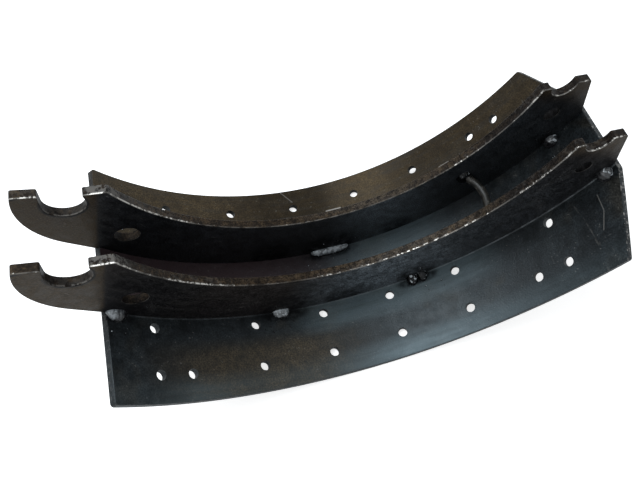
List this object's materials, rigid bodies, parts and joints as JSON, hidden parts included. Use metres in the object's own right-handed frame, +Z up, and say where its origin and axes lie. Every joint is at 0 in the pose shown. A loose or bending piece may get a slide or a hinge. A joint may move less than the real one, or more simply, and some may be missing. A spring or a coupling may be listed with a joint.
{
  "type": "brake shoe",
  "caption": "Bare fabricated brake shoe: a curved table with rivet holes on upright webs, an open hook for the anchor pin, an open seat for the cam roller and a bowed spring rod.",
  "frame": {"origin": "centre of the anchor pin's seat, midway between the two webs", "axes": "+X from the anchor end towards the roller end, +Y along the anchor pin towards the back web, +Z up, square to the floor that the table's back rests on"},
  "size_m": [0.3785, 0.172, 0.1784],
  "materials": {
    "table_paint": "thin black paint over rolled plate, satin",
    "web_paint": "thin black paint over cut plate, edges worn bright",
    "rod_paint": "thin black paint, rubbed",
    "weld_paint": "glossy black paint over weld metal"
  },
  "bodies": {
    "root": {"table": "table_paint", "web_front": "web_paint", "web_back": "web_paint", "spring_rod": "rod_paint", "rod_weld_front": "weld_paint", "rod_weld_back": "weld_paint", "weld_front_outer_1": "weld_paint", "weld_front_outer_2": "weld_paint", "weld_front_outer_3": "weld_paint", "weld_front_outer_4": "weld_paint", "weld_front_inner_1": "weld_paint", "weld_front_inner_2": "weld_paint", "weld_back_outer_1": "weld_paint", "weld_back_outer_2": "weld_paint", "weld_back_outer_3": "weld_paint", "weld_back_outer_4": "weld_paint", "weld_back_inner_1": "weld_paint", "weld_back_inner_2": "weld_paint"}
  },
  "joints": []
}
